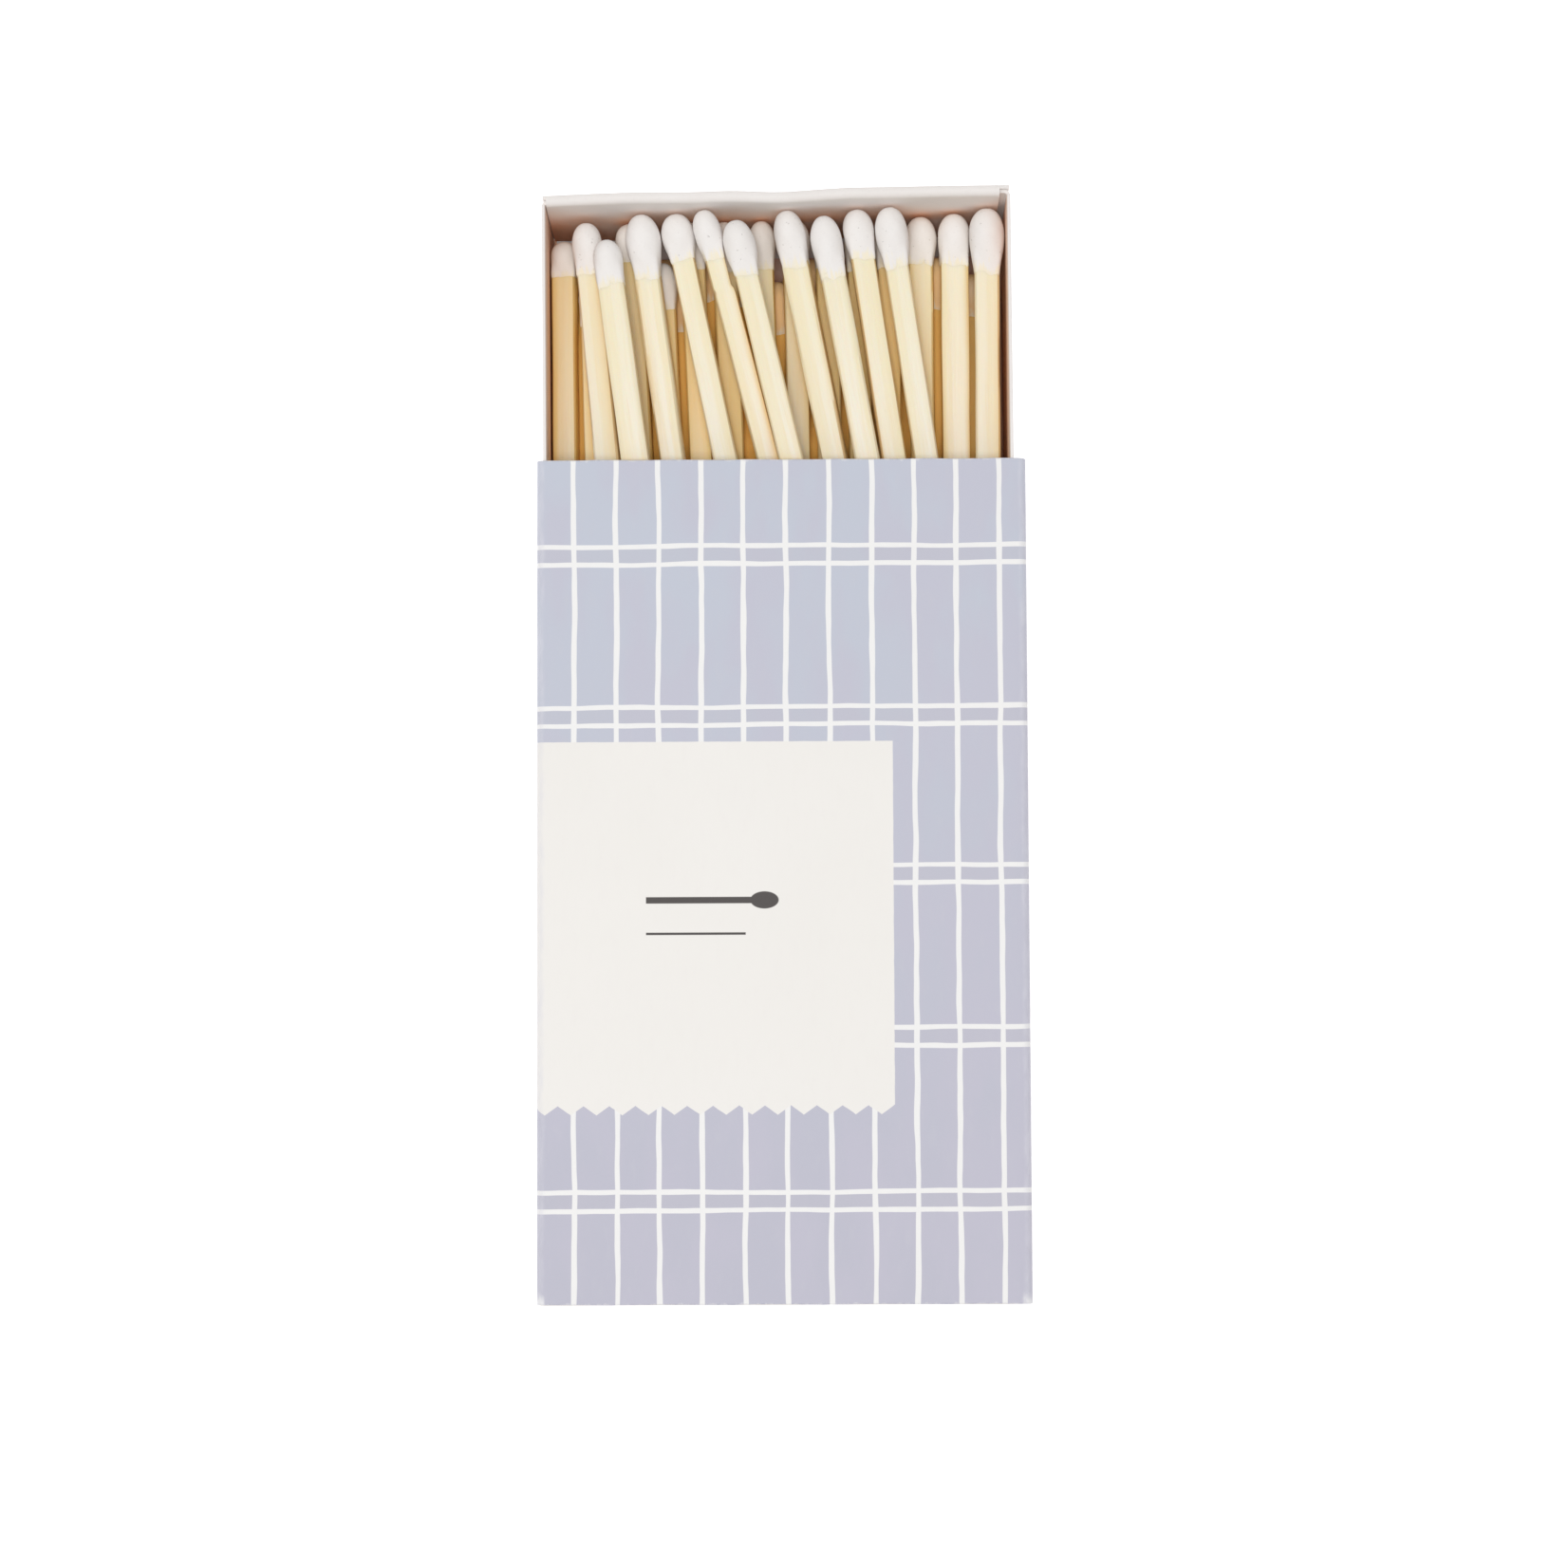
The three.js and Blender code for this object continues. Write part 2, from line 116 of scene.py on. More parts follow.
class Nodes:
    """Builds a node tree by sockets."""

    def __init__(self, name):
        self.mat = bpy.data.materials.new(name)
        self.mat.use_nodes = True
        self.t = self.mat.node_tree
        self.t.nodes.clear()
        self.out = self.t.nodes.new("ShaderNodeOutputMaterial")
        self.bsdf = self.t.nodes.new("ShaderNodeBsdfPrincipled")
        self.t.links.new(self.bsdf.outputs[0], self.out.inputs[0])

    def put(self, sock, v):
        if hasattr(v, "is_output"):
            self.t.links.new(v, sock)
        else:
            sock.default_value = v

    def m(self, op, a, b=None, c=None, clamp=False):
        n = self.t.nodes.new("ShaderNodeMath")
        n.operation = op
        n.use_clamp = clamp
        for i, v in enumerate((a, b, c)):
            if v is not None:
                self.put(n.inputs[i], v)
        return n.outputs[0]

    def step(self, v, lo, hi, a=0.0, b=1.0):
        """Smooth from a at lo to b at hi."""
        n = self.t.nodes.new("ShaderNodeMapRange")
        n.interpolation_type = "SMOOTHSTEP"
        for s, x in zip(("Value", "From Min", "From Max", "To Min", "To Max"), (v, lo, hi, a, b)):
            self.put(n.inputs[s], x)
        return n.outputs[0]

    def below(self, v, edge, soft):
        """1 where v is under edge, with a soft edge."""
        return self.step(v, self.m("SUBTRACT", edge, soft) if hasattr(edge, "is_output") else edge - soft,
                         self.m("ADD", edge, soft) if hasattr(edge, "is_output") else edge + soft, 1.0, 0.0)

    def attr(self, name):
        n = self.t.nodes.new("ShaderNodeAttribute")
        n.attribute_type = "GEOMETRY"
        n.attribute_name = name
        return n

    def split(self, v):
        n = self.t.nodes.new("ShaderNodeSeparateXYZ")
        self.put(n.inputs[0], v)
        return n.outputs

    def vec(self, x, y, z=0.0):
        n = self.t.nodes.new("ShaderNodeCombineXYZ")
        for i, v in enumerate((x, y, z)):
            self.put(n.inputs[i], v)
        return n.outputs[0]

    def noise(self, vec, scale, detail=2.0, rough=0.5, dist=0.0):
        n = self.t.nodes.new("ShaderNodeTexNoise")
        n.noise_dimensions = "3D"
        self.put(n.inputs["Vector"], vec)
        for k, v in (("Scale", scale), ("Detail", detail), ("Roughness", rough), ("Distortion", dist)):
            self.put(n.inputs[k], v)
        return n.outputs[0]

    def mix(self, f, a, b, mode="MIX"):
        n = self.t.nodes.new("ShaderNodeMix")
        n.data_type = "RGBA"
        n.blend_type = mode
        self.put(n.inputs[0], f)
        self.put(n.inputs[6], a)
        self.put(n.inputs[7], b)
        return n.outputs[2]

    def curve(self, v, lo, hi, points):
        """Piecewise linear: points are (value, result), over lo to hi. Gives the result's place between the lowest and the highest as 0 to 1."""
        n = self.t.nodes.new("ShaderNodeFloatCurve")
        c = n.mapping.curves[0]
        r0, r1 = points[0][1], points[-1][1]
        q = [((a - lo) / (hi - lo), (b - r0) / (r1 - r0)) for a, b in points]
        c.points[0].location = q[0]
        c.points[1].location = q[-1]
        for a, b in q[1:-1]:
            c.points.new(a, b)
        for p in c.points:
            p.handle_type = "VECTOR"
        n.mapping.update()
        self.put(n.inputs["Value"], self.m("DIVIDE", self.m("SUBTRACT", v, lo), hi - lo))
        return self.m("ADD", self.m("MULTIPLY", n.outputs[0], r1 - r0), r0)

    def bump(self, height, distance, strength=1.0, normal=None):
        n = self.t.nodes.new("ShaderNodeBump")
        self.put(n.inputs["Height"], height)
        n.inputs["Distance"].default_value = distance
        n.inputs["Strength"].default_value = strength
        if normal is not None:
            self.put(n.inputs["Normal"], normal)
        return n.outputs[0]

    def finish(self, colour, rough, normal=None, spec=0.3):
        self.put(self.bsdf.inputs["Base Color"], colour)
        self.put(self.bsdf.inputs["Roughness"], rough)
        self.bsdf.inputs["Specular IOR Level"].default_value = spec
        if normal is not None:
            self.put(self.bsdf.inputs["Normal"], normal)
        return self.mat


K = 1.0  # the light on a level surface is about white


def shade(r, g, b):
    return tuple(c * K if i < 3 else 1.0 for i, c in enumerate(lin(r, g, b)))


# ---- printed card -----------------------------------------------------------------------------------------------------------
def printed_material():
    g = Nodes("printed_card")
    u, v, _ = g.split(g.attr("print_mm").outputs["Vector"])
    p = g.vec(u, v)
    # upright lines, about 5.55 mm apart
    xs = [-27.17, -21.59, -16.1, -10.52, -5.04, 0.5, 6.17, 11.79, 17.28, 22.85, 28.38]
    pitch = 5.555
    pts = [(xs[0] - 10 * pitch, -10.0)] + [(x, float(i)) for i, x in enumerate(xs)] + [(xs[-1] + 10 * pitch, 20.0)]
    sway = g.m("MULTIPLY", g.m("SUBTRACT", g.noise(g.vec(g.m("MULTIPLY", u, 0.16), g.m("MULTIPLY", v, 0.07), 3.0), 1.0, 2.5, 0.6), 0.5), 0.75)
    k = g.curve(g.m("ADD", u, sway), pts[0][0], pts[-1][0], pts)
    dv = g.m("MULTIPLY", g.m("ABSOLUTE", g.m("SUBTRACT", k, g.m("ROUND", k))), pitch)
    wide = g.m("ADD", 0.245, g.m("MULTIPLY", g.noise(g.vec(g.m("MULTIPLY", u, 0.21), g.m("MULTIPLY", v, 0.11), 7.0), 1.0, 2.0), 0.2))
    upright = g.below(dv, wide, 0.05)
    # pairs of level lines, about 21 mm apart
    gy = [-41.64, -20.45, 0.555, 21.28, 42.38]
    gp = [(-62.6, -3.0)] + [(y, float(i - 2)) for i, y in enumerate(gy)] + [(63.4, 3.0)]
    dip = g.m("MULTIPLY", g.m("SUBTRACT", g.noise(g.vec(g.m("MULTIPLY", u, 0.07), g.m("MULTIPLY", v, 0.12), 11.0), 1.0, 2.5, 0.6), 0.5), 0.7)
    w = g.m("ADD", g.m("ADD", v, dip), g.m("MULTIPLY", u, -0.0025))
    q = g.curve(w, gp[0][0], gp[-1][0], gp)
    off = g.m("MULTIPLY", g.m("ABSOLUTE", g.m("SUBTRACT", q, g.m("ROUND", q))), 21.05)
    dh = g.m("ABSOLUTE", g.m("SUBTRACT", off, 1.17))
    tall = g.m("ADD", 0.23, g.m("MULTIPLY", g.noise(g.vec(g.m("MULTIPLY", u, 0.12), g.m("MULTIPLY", v, 0.3), 17.0), 1.0, 2.0), 0.17))
    level = g.below(dh, tall, 0.05)
    lines = g.m("MAXIMUM", upright, level)
    # brushed ground colour
    blot = g.m("ADD", g.noise(g.vec(g.m("MULTIPLY", u, 0.14), g.m("MULTIPLY", v, 0.06), 23.0), 1.0, 3.0, 0.55), g.step(u, 6.0, 34.0, 0.0, 0.12))
    fine = g.noise(g.vec(u, g.m("MULTIPLY", v, 0.35), 29.0), 0.9, 4.0, 0.6)
    down = g.step(v, 60.0, -60.0)
    ground = g.mix(down, shade(195, 200, 213), shade(191, 190, 204))
    ground = g.mix(g.m("MULTIPLY", g.step(blot, 0.40, 0.66), 0.55), ground, shade(196, 193, 208))
    ground = g.mix(g.m("MULTIPLY", g.step(fine, 0.5, 0.8), 0.25), ground, shade(200, 200, 209))
    band = g.below(off, 1.17, 0.1)
    ground = g.mix(g.m("MULTIPLY", band, 0.35), ground, shade(191, 190, 200))
    white = g.mix(fine, shade(241, 240, 240), shade(246, 245, 242))
    colour = g.mix(g.m("MULTIPLY", lines, 0.96), ground, white)
    # label field: from the left-hand fold in to x = 14.3, its lower edge cut in points
    edge_n = g.m("MULTIPLY", g.m("SUBTRACT", g.noise(g.vec(g.m("MULTIPLY", u, 0.5), g.m("MULTIPLY", v, 0.5), 31.0), 1.0, 2.0), 0.5), 0.18)
    saw = g.m("MULTIPLY", g.m("ABSOLUTE", g.m("SUBTRACT", g.m("FRACT", g.m("ADD", g.m("DIVIDE", g.m("ADD", g.m("ADD", u, edge_n), 30.95), 3.355), 0.5)), 0.5)), 2.0)
    bottom = g.m("ADD", -30.55, g.m("MULTIPLY", saw, 1.2))
    inside = g.m("MULTIPLY", g.step(g.m("SUBTRACT", g.m("ADD", v, edge_n), bottom), -0.04, 0.06), g.step(g.m("ADD", v, g.m("MULTIPLY", edge_n, 0.6)), 17.95, 17.85))
    inside = g.m("MULTIPLY", inside, g.step(g.m("ADD", u, g.m("MULTIPLY", edge_n, 0.6)), 14.43, 14.33))
    cut = g.m("SUBTRACT", g.m("MULTIPLY", g.m("SUBTRACT", u, 12.75), 0.82), g.m("SUBTRACT", v, -30.55))  # the last point runs up to the right-hand side
    inside = g.m("MULTIPLY", inside, g.step(cut, 0.12, 0.0))
    inside = g.m("MULTIPLY", inside, g.step(u, -40.6, -40.4))
    cream = g.mix(g.noise(g.vec(g.m("MULTIPLY", u, 0.05), g.m("MULTIPLY", v, 0.05), 37.0), 1.0, 3.0), shade(238, 235, 230), shade(242, 239, 235))
    cream = g.mix(g.m("MULTIPLY", g.step(fine, 0.45, 0.8), 0.3), cream, shade(237, 233, 229))
    colour = g.mix(inside, colour, cream)
    # a plain printed figure of a match with a rule under it
    fy = g.m("SUBTRACT", v, -2.75)
    soft = 0.06
    stem = g.m("MULTIPLY", g.below(g.m("ABSOLUTE", fy), 0.42, soft), g.m("MULTIPLY", g.step(u, -17.85, -17.75), g.step(u, -2.9, -3.1)))
    hx, hy = g.m("DIVIDE", g.m("SUBTRACT", u, -2.4), 1.85), g.m("DIVIDE", fy, 1.12)
    bulb = g.below(g.m("SQRT", g.m("ADD", g.m("MULTIPLY", hx, hx), g.m("MULTIPLY", hy, hy))), 1.0, 0.05)
    rule = g.m("MULTIPLY", g.below(g.m("ABSOLUTE", g.m("SUBTRACT", v, -7.1)), 0.16, 0.05), g.m("MULTIPLY", g.step(u, -17.85, -17.75), g.step(u, -4.8, -4.9)))
    figure = g.m("MAXIMUM", g.m("MAXIMUM", stem, bulb), rule)
    colour = g.mix(g.m("MULTIPLY", figure, 0.97), colour, shade(66, 60, 59))
    # striking strips on the two long sides: a dark coat laid in fine dots
    au = g.m("ABSOLUTE", u)
    strip = g.m("MULTIPLY", g.step(au, 34.0, 34.25), g.step(au, 49.2, 48.95))
    dots = g.t.nodes.new("ShaderNodeTexVoronoi")
    dots.feature = "F1"
    g.put(dots.inputs["Vector"], g.vec(g.m("ADD", u, g.m("MULTIPLY", v, 0.5)), g.m("MULTIPLY", v, 0.87)))
    dots.inputs["Scale"].default_value = 1.35
    dots.inputs["Randomness"].default_value = 0.12
    dot = g.step(dots.outputs["Distance"], 0.5, 0.38)
    grit = g.noise(p, 9.0, 4.0, 0.7)
    coat = g.mix(grit, shade(88, 54, 46), shade(122, 82, 70))
    coat = g.mix(g.m("MULTIPLY", dot, 0.55), coat, shade(66, 38, 33))
    strip = g.m("MULTIPLY", strip, g.step(g.m("ADD", g.m("MULTIPLY", g.m("SUBTRACT", grit, 0.5), 1.5), strip), 0.35, 0.6))
    colour = g.mix(strip, colour, coat)
    # wear and painted highlight: the folds are painted pale, partly as rubbing and partly as the highlight on their
    # rounding; the ends are nicked
    rub = g.noise(g.vec(g.m("MULTIPLY", u, 0.8), g.m("MULTIPLY", v, 0.22), 41.0), 1.0, 4.0, 0.65)
    fold_a = g.m("ABSOLUTE", g.m("SUBTRACT", au, 31.8))
    fold_b = g.m("ABSOLUTE", g.m("SUBTRACT", au, 51.1))
    fold = g.below(g.m("MINIMUM", fold_a, fold_b), g.m("ADD", 0.3, g.m("MULTIPLY", rub, 0.75)), 0.3)
    colour = g.mix(g.m("MULTIPLY", fold, g.step(rub, 0.3, 0.8, 0.1, 0.5)), colour, shade(222, 221, 229))
    ends = g.step(g.m("ADD", g.m("ABSOLUTE", v), g.m("MULTIPLY", g.m("SUBTRACT", rub, 0.5), 1.6)), 54.75, 55.05)
    colour = g.mix(g.m("MULTIPLY", ends, 0.55), colour, shade(228, 227, 230))
    corner = g.m("MULTIPLY", g.step(g.m("ADD", g.m("MULTIPLY", v, -1.0), g.m("MULTIPLY", g.m("SUBTRACT", rub, 0.5), 3.0)), 53.2, 54.8), g.step(g.m("ADD", fold_a, g.m("MULTIPLY", g.m("SUBTRACT", fine, 0.5), 2.0)), 1.3, 0.5))
    colour = g.mix(g.m("MULTIPLY", corner, 0.8), colour, shade(240, 239, 240))
    fibre = g.noise(p, 2.6, 5.0, 0.65)
    h = g.m("ADD", g.m("MULTIPLY", fibre, 0.6), g.m("MULTIPLY", g.noise(p, 14.0, 3.0, 0.6), 0.4))
    h = g.m("ADD", h, g.m("MULTIPLY", g.m("MULTIPLY", strip, grit), 2.5))
    n = g.bump(h, 0.00002, 0.35)
    rough = g.m("ADD", g.m("ADD", 0.52, g.m("MULTIPLY", fibre, 0.12)), g.m("MULTIPLY", strip, 0.3))
    return g.finish(colour, rough, n, 0.35)


def board_material(name, warm, pale, paint_inner_shade=False):
    """Plain uncoated card, with faint fibres and a mottled tone; on request also painted warm shade inside the tray."""
    g = Nodes(name)
    c = g.t.nodes.new("ShaderNodeTexCoord").outputs["Object"]
    sc = g.t.nodes.new("ShaderNodeVectorMath")
    sc.operation = "SCALE"
    g.put(sc.inputs[0], c)
    sc.inputs["Scale"].default_value = 1000.0
    p = sc.outputs[0]
    x, y, z = g.split(p)
    cloud = g.noise(p, 0.16, 3.0, 0.55)
    fibre = g.noise(g.vec(g.m("MULTIPLY", x, 0.45), y, z), 2.4, 5.0, 0.7)
    speck = g.noise(p, 5.5, 2.0, 0.5)
    colour = g.mix(cloud, shade(*warm), shade(*pale))
    colour = g.mix(g.m("MULTIPLY", g.step(fibre, 0.5, 0.8), 0.35), colour, shade(*[c - 12 for c in warm]))
    colour = g.mix(g.m("MULTIPLY", g.step(speck, 0.68, 0.78), 0.25), colour, shade(*[c - 38 for c in warm]))
    if paint_inner_shade:
        # painted shade: inside the tray, hollows found by ambient occlusion are painted pinkish to brown, darker and
        # warmer lower down, as shade and warm bounce light
        ao = g.t.nodes.new("ShaderNodeAmbientOcclusion")
        ao.samples = 8
        ao.inputs["Distance"].default_value = 0.008
        inside = g.attr("inside").outputs["Fac"]
        recess_shade = g.m("MULTIPLY", inside, g.m("MULTIPLY", g.step(ao.outputs["AO"], 0.75, 0.2), g.step(z, 18.4, 11.5, 0.15, 1.0)))
        colour = g.mix(recess_shade, colour, g.mix(g.step(z, 15.0, 9.0), shade(250, 217, 197), shade(232, 172, 134)))
        # painted shade: the inner faces of the side walls are painted tan-brown, more strongly lower down, as their
        # shade and warm bounce light
        nx, _, _ = g.split(g.t.nodes.new("ShaderNodeNewGeometry").outputs["Normal"])
        wall = g.m("MULTIPLY", inside, g.step(g.m("ABSOLUTE", nx), 0.6, 0.9))
        colour = g.mix(g.m("MULTIPLY", wall, g.step(z, 19.15, 16.5, 0.35, 0.78)), colour, shade(236, 194, 166))
    h = g.m("ADD", g.m("MULTIPLY", fibre, 0.7), g.m("MULTIPLY", g.noise(p, 12.0, 3.0, 0.6), 0.3))
    return g.finish(colour, g.m("ADD", 0.78, g.m("MULTIPLY", fibre, 0.12)), g.bump(h, 0.00003, 0.45), 0.2)


def wood_material():
    """Split pale wood: long streaks along the stick, warmer near the head, with fine pores and a few darker threads,
    and painted shade on flanks, upright faces and low-lying wood.
    """
    g = Nodes("match_wood")
    a = g.attr("grain_mm").outputs["Vector"]
    x, s, z = g.split(a)
    tone = g.attr("tone").outputs["Fac"]
    long_ = g.vec(x, g.m("MULTIPLY", s, 0.035), z)
    streak = g.noise(long_, 1.7, 4.0, 0.6, 0.25)
    hair = g.noise(g.vec(x, g.m("MULTIPLY", s, 0.02), z), 7.5, 4.0, 0.65)
    pore = g.noise(g.vec(g.m("MULTIPLY", x, 9.0), g.m("MULTIPLY", s, 0.9), g.m("MULTIPLY", z, 9.0)), 1.0, 2.0, 0.5)
    colour = g.mix(tone, shade(250, 243, 229), shade(247, 239, 218))
    colour = g.mix(g.m("MULTIPLY", g.step(streak, 0.42, 0.75), 0.5), colour, shade(244, 229, 198))
    colour = g.mix(g.m("MULTIPLY", g.step(hair, 0.52, 0.8), 0.42), colour, shade(236, 216, 174))
    colour = g.mix(g.m("MULTIPLY", g.step(hair, 0.42, 0.22), 0.35), colour, shade(251, 246, 230))
    colour = g.mix(g.m("MULTIPLY", g.step(pore, 0.7, 0.82), 0.2), colour, shade(216, 188, 134))
    # painted shade: each stick's flanks are painted yellower, as the soft shading over its rounded edges
    side = g.attr("across").outputs["Fac"]
    flank_shade = g.step(g.m("ADD", g.m("ABSOLUTE", g.m("ADD", side, g.m("MULTIPLY", g.m("SUBTRACT", tone, 0.5), 0.5))), g.m("MULTIPLY", g.m("SUBTRACT", streak, 0.5), 0.8)), 0.45, 1.15)
    colour = g.mix(g.m("MULTIPLY", flank_shade, 0.75), colour, shade(243, 223, 180))
    # painted shade: one side of each stick's face, chosen per match by its tone, is painted yellower, as a face turned
    # into the shade
    hand = g.m("SIGN", g.m("SUBTRACT", g.m("FRACT", g.m("MULTIPLY", tone, 7.3)), 0.45))
    side_face_shade = g.m("ADD", g.m("ADD", g.m("MULTIPLY", side, hand), g.m("MULTIPLY", g.m("SUBTRACT", tone, 0.5), 0.8)), g.m("MULTIPLY", g.m("SUBTRACT", streak, 0.5), 0.9))
    colour = g.mix(g.m("MULTIPLY", g.step(side_face_shade, 0.02, 0.42), 0.5), colour, shade(243, 228, 188))
    near = g.m("MULTIPLY", g.step(s, 36.0, 6.0), 0.5)
    colour = g.mix(near, colour, shade(243, 233, 198))
    # painted shade: upright faces and wood lower in the tray are painted tan, and wood hemmed in by neighbours amber,
    # standing in for shade and warm bounce light
    _, _, up = g.split(g.t.nodes.new("ShaderNodeTexCoord").outputs["Object"])
    _, _, nz = g.split(g.t.nodes.new("ShaderNodeNewGeometry").outputs["Normal"])
    colour = g.mix(g.m("MULTIPLY", g.step(g.m("ABSOLUTE", nz), 0.6, 0.2), 0.4), colour, shade(232, 198, 140))
    low = g.step(up, 0.0138, 0.0088)
    colour = g.mix(g.m("MULTIPLY", low, 0.6), colour, shade(248, 221, 156))
    # painted shade: wood that ambient occlusion finds hemmed in is painted tan to amber
    ao = g.t.nodes.new("ShaderNodeAmbientOcclusion")
    ao.samples = 8
    ao.inputs["Distance"].default_value = 0.0042
    recess_shade = g.step(ao.outputs["AO"], 0.80, 0.36)
    dark = g.mix(g.step(up, 0.0150, 0.0105), shade(230, 194, 130), shade(242, 199, 98))
    colour = g.mix(g.m("MULTIPLY", recess_shade, 0.72), colour, dark)
    # painted shade: the lowest wood in the tray is painted deep amber
    deep = g.step(up, 0.0105, 0.0065)
    colour = g.mix(g.m("MULTIPLY", deep, 0.85), colour, shade(255, 182, 66))
    h = g.m("ADD", g.m("MULTIPLY", hair, 0.75), g.m("MULTIPLY", pore, 0.25))
    n = g.bump(h, 0.00009, 0.5)
    g.bsdf.inputs["Subsurface Weight"].default_value = 0.12
    g.bsdf.inputs["Subsurface Radius"].default_value = (1.0, 0.55, 0.2)
    g.bsdf.inputs["Subsurface Scale"].default_value = 0.0008
    return g.finish(colour, g.m("ADD", 0.6, g.m("MULTIPLY", hair, 0.2)), n, 0.3)


def head_material():
    """Chalky dipped head: off-white, faintly mottled, pitted, with a few grey specks; lower heads carry painted warm
    shade.
    """
    g = Nodes("match_head")
    a = g.attr("grain_mm").outputs["Vector"]
    tone = g.attr("tone").outputs["Fac"]
    cloud = g.noise(a, 0.55, 3.0, 0.55)
    fine = g.noise(a, 3.2, 4.0, 0.65)
    speck = g.noise(a, 2.2, 1.0, 0.4)
    colour = g.mix(cloud, shade(240, 236, 233), shade(244, 241, 239))
    colour = g.mix(g.m("MULTIPLY", tone, 0.35), colour, shade(238, 232, 226))
    colour = g.mix(g.m("MULTIPLY", g.step(fine, 0.52, 0.8), 0.3), colour, shade(226, 221, 217))
    colour = g.mix(g.m("MULTIPLY", g.step(speck, 0.735, 0.77), 0.4), colour, shade(176, 170, 166))
    # painted shade: heads lower in the tray are painted warmer and darker, as the shade and warm bounce light down
    # among the sticks
    _, _, up = g.split(g.t.nodes.new("ShaderNodeTexCoord").outputs["Object"])
    colour = g.mix(g.m("MULTIPLY", g.step(up, 0.0150, 0.0105), 0.3), colour, shade(242, 228, 206))
    colour = g.mix(g.m("MULTIPLY", g.step(up, 0.0114, 0.0090), 0.9), colour, shade(250, 208, 142))
    # towards its lower edge the dip thins out, in streaks, and the wood shows through
    x, s, z = g.split(a)
    run = g.noise(g.vec(g.m("MULTIPLY", x, 2.2), g.m("MULTIPLY", s, 0.25), g.m("MULTIPLY", z, 2.2)), 1.0, 3.0, 0.6)
    thin = g.step(g.m("ADD", g.attr("run_out").outputs["Fac"], g.m("MULTIPLY", g.m("SUBTRACT", run, 0.5), 0.7)), 0.82, 1.0)
    colour = g.mix(g.m("MULTIPLY", thin, 0.8), colour, shade(246, 236, 209))
    pit = g.step(speck, 0.70, 0.78)
    h = g.m("SUBTRACT", g.m("ADD", g.m("MULTIPLY", fine, 0.5), g.m("MULTIPLY", g.noise(a, 11.0, 3.0, 0.6), 0.25)), g.m("MULTIPLY", pit, 0.8))
    return g.finish(colour, g.m("ADD", 0.72, g.m("MULTIPLY", fine, 0.15)), g.bump(h, 0.00006, 0.5), 0.25)


PRINT, CARD, INNER = printed_material(), board_material("white_card", (236, 230, 226), (243, 239, 236), True), board_material("raw_card", (214, 209, 203), (226, 222, 217))
WOOD, HEAD = wood_material(), head_material()


# ---- mesh helpers -----------------------------------------------------------------------------------------------------------
def make(name, verts, faces, mats, slots=None, attrs=None, smooth=True, angle=40):
    me = bpy.data.meshes.new(name)
    me.from_pydata([tuple(float(c) * MM for c in v) for v in verts], [], faces)
    for m in mats:
        me.materials.append(m)
    if slots is not None:
        me.polygons.foreach_set("material_index", slots)
    for key, val in (attrs or {}).items():
        val = np.asarray(val, float)
        kind = "FLOAT_VECTOR" if val.ndim == 2 else "FLOAT"
        a = me.attributes.new(key, kind, "POINT")
        a.data.foreach_set("vector" if val.ndim == 2 else "value", val.ravel())
    me.update()
    ob = bpy.data.objects.new(name, me)
    bpy.context.scene.collection.objects.link(ob)
    if smooth:
        me.polygons.foreach_set("use_smooth", [True] * len(me.polygons))
        me.set_sharp_from_angle(angle=math.radians(angle))
    return ob


def wave(x, seed, n=5, f=1.0):
    """A smooth made-up line, the same each run."""
    r = np.random.default_rng(seed)
    out = np.zeros_like(np.asarray(x, float))
    for i in range(n):
        out = out + r.normal() / (i + 1) * np.sin(np.asarray(x) * f * (i + 1) * (0.7 + 0.6 * r.random()) + r.random() * 6.28)
    return out


def arc(cx, cy, r, a0, a1, n=8):
    a = np.radians(np.linspace(a0, a1, n + 1))
    return [(cx + r * math.cos(t), cy + r * math.sin(t)) for t in a]


def dense(line, step):
    out = [line[0]]
    for a, b in zip(line, line[1:]):
        n = max(1, int(math.hypot(b[0] - a[0], b[1] - a[1]) / step))
        for i in range(1, n + 1):
            out.append((a[0] + (b[0] - a[0]) * i / n, a[1] + (b[1] - a[1]) * i / n))
    return out


def offset(line, t):
    p = np.array(line, float)
    d = np.zeros_like(p)
    d[1:-1] = p[2:] - p[:-2]
    d[0], d[-1] = p[1] - p[0], p[-1] - p[-2]
    d /= np.linalg.norm(d, axis=1)[:, None]
    nrm = np.stack([-d[:, 1], d[:, 0]], 1)
    return p + nrm * t / 2, p - nrm * t / 2


